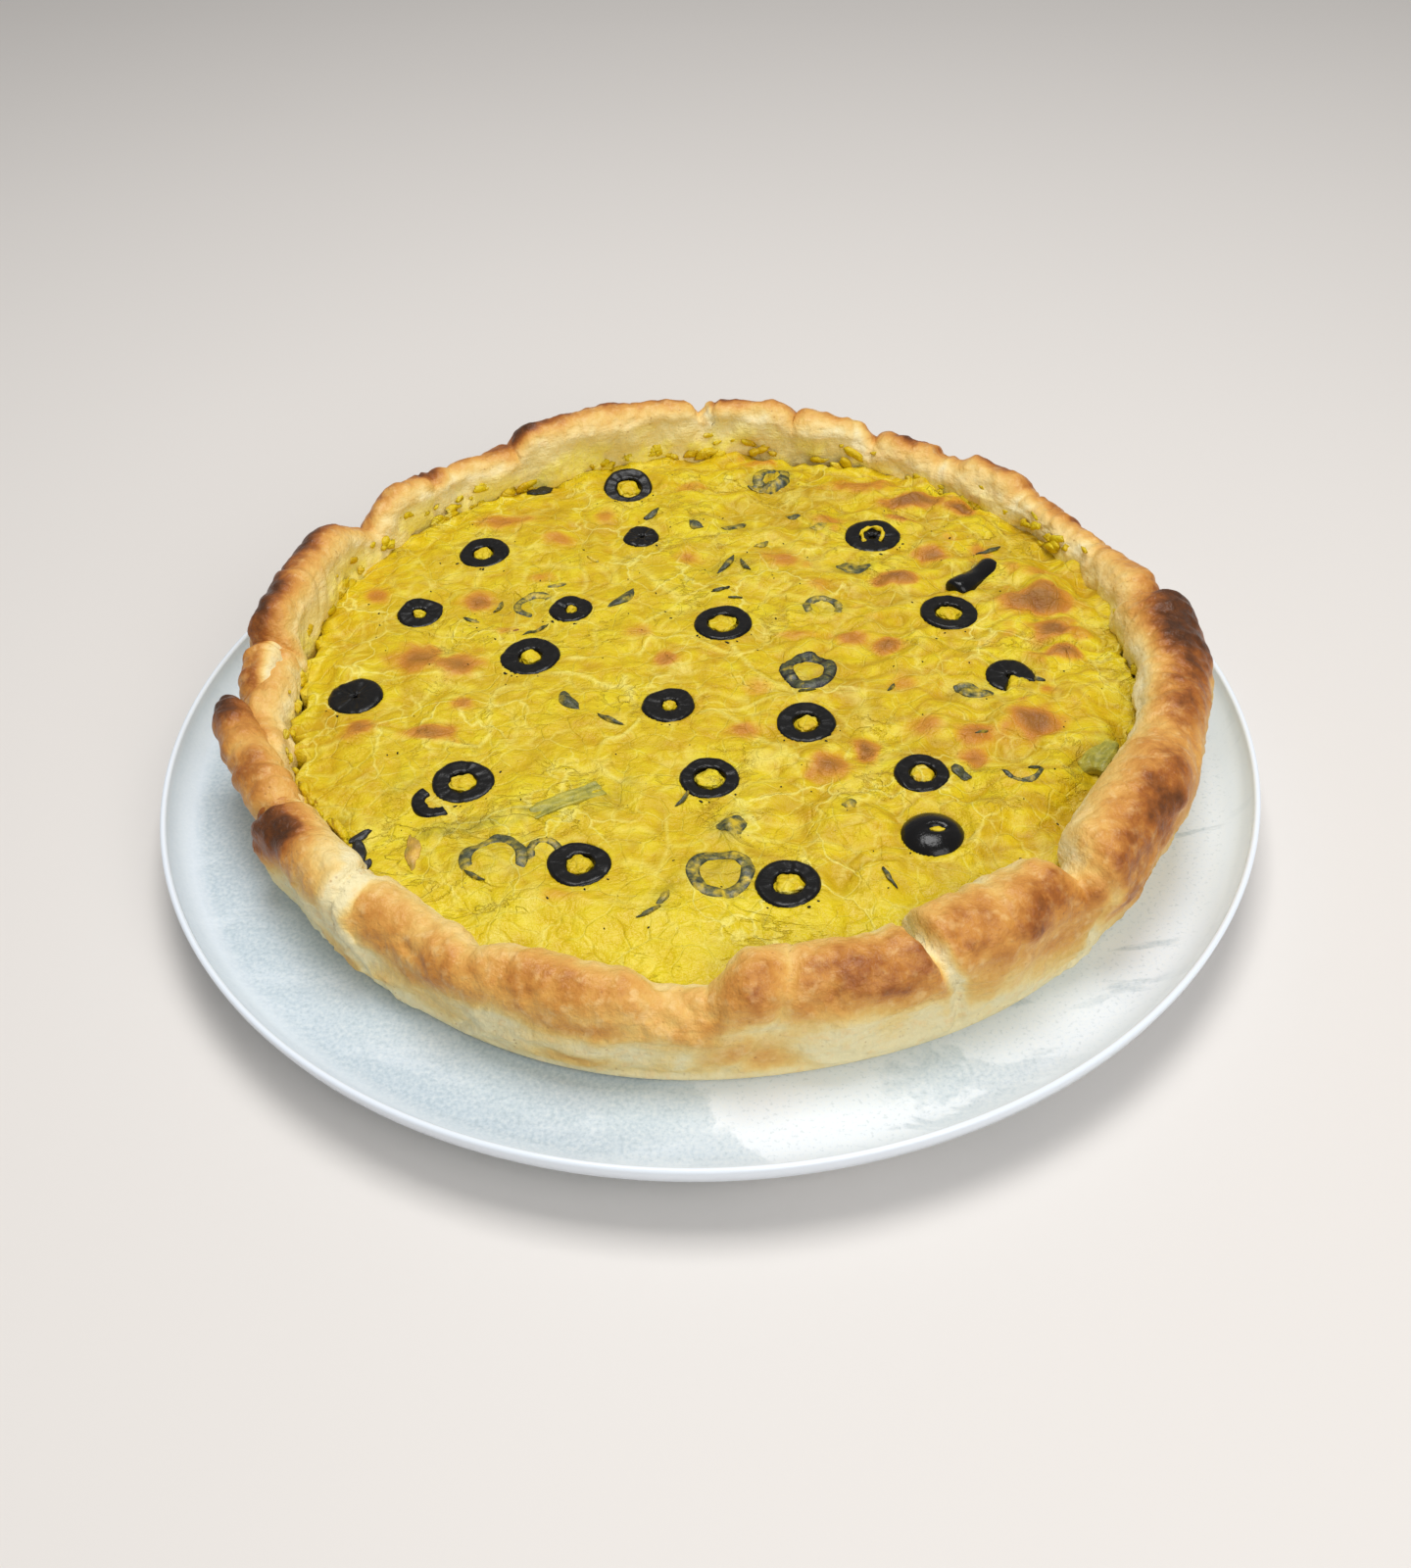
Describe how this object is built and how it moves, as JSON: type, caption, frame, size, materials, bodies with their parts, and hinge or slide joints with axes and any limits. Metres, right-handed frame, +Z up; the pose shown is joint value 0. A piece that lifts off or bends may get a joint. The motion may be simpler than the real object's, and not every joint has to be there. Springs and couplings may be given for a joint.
{
  "type": "quiche",
  "caption": "Round quiche with a hand-folded puff pastry rim, a yellow filling with black olive slices and courgette, on a flat plate with an upturned edge.",
  "frame": {"origin": "on the table under the middle of the plate, at the bottom centre of the bounding box", "axes": "+Z up, -Y towards the front (the side with the lowest point of the rim), +X to the right as seen from the front"},
  "size_m": [0.314, 0.314, 0.0538],
  "materials": {
    "plate_glaze": "glossy glaze over a watery grey marbled print, white edge",
    "puff_pastry": "baked puff pastry, golden brown on top and cream below, satin",
    "filling": "wrinkled yellow custard skin with toasted spots",
    "black_olive": "oily black olive",
    "courgette": "cooked green vegetable, moist"
  },
  "bodies": {
    "root": {"plate": "plate_glaze", "crust": "puff_pastry", "filling": "filling", "olive_01": "black_olive", "olive_02": "black_olive", "olive_03": "black_olive", "olive_04": "black_olive", "olive_05": "black_olive", "olive_06": "black_olive", "olive_07": "black_olive", "olive_08": "black_olive", "olive_09": "black_olive", "olive_10": "black_olive", "olive_11": "black_olive", "olive_12": "black_olive", "olive_13": "black_olive", "olive_14": "black_olive", "olive_15": "black_olive", "olive_16": "black_olive", "olive_17": "black_olive", "olive_18": "black_olive", "olive_19": "black_olive", "olive_20": "black_olive", "olive_21": "black_olive", "courgette_strip": "courgette", "courgette_chunk": "courgette"}
  },
  "joints": []
}
